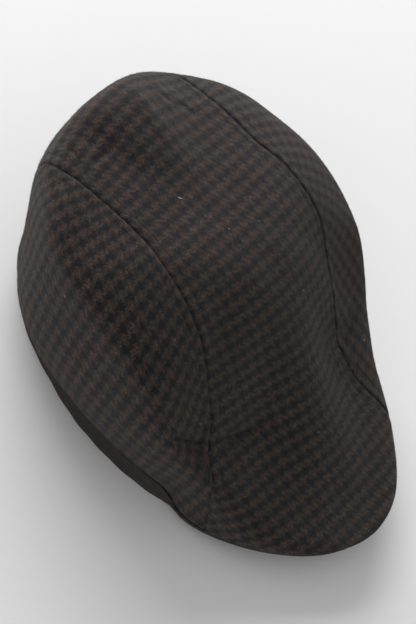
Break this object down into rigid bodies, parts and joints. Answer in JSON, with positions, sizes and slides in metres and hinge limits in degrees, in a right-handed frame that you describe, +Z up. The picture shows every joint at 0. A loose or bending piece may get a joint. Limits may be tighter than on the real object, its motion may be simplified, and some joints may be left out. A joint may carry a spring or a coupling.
{
  "type": "duckbill flat cap",
  "caption": "Soft flat cap with a full crown, curved side seams, a head band and a short stiff peak covered by the crown's cloth.",
  "frame": {"origin": "bottom centre of the cap, on the surface that its band stands on", "axes": "+Z up, -Y the way the peak points, +X the wearer's left"},
  "size_m": [0.203, 0.2648, 0.1154],
  "materials": {
    "crown_wool": "brushed dogtooth wool",
    "band_wool": "brushed dogtooth wool"
  },
  "bodies": {
    "root": {"crown_top_panel": "crown_wool", "side_panel_right": "crown_wool", "side_panel_left": "crown_wool", "head_band": "band_wool", "peak": "band_wool"}
  },
  "joints": []
}
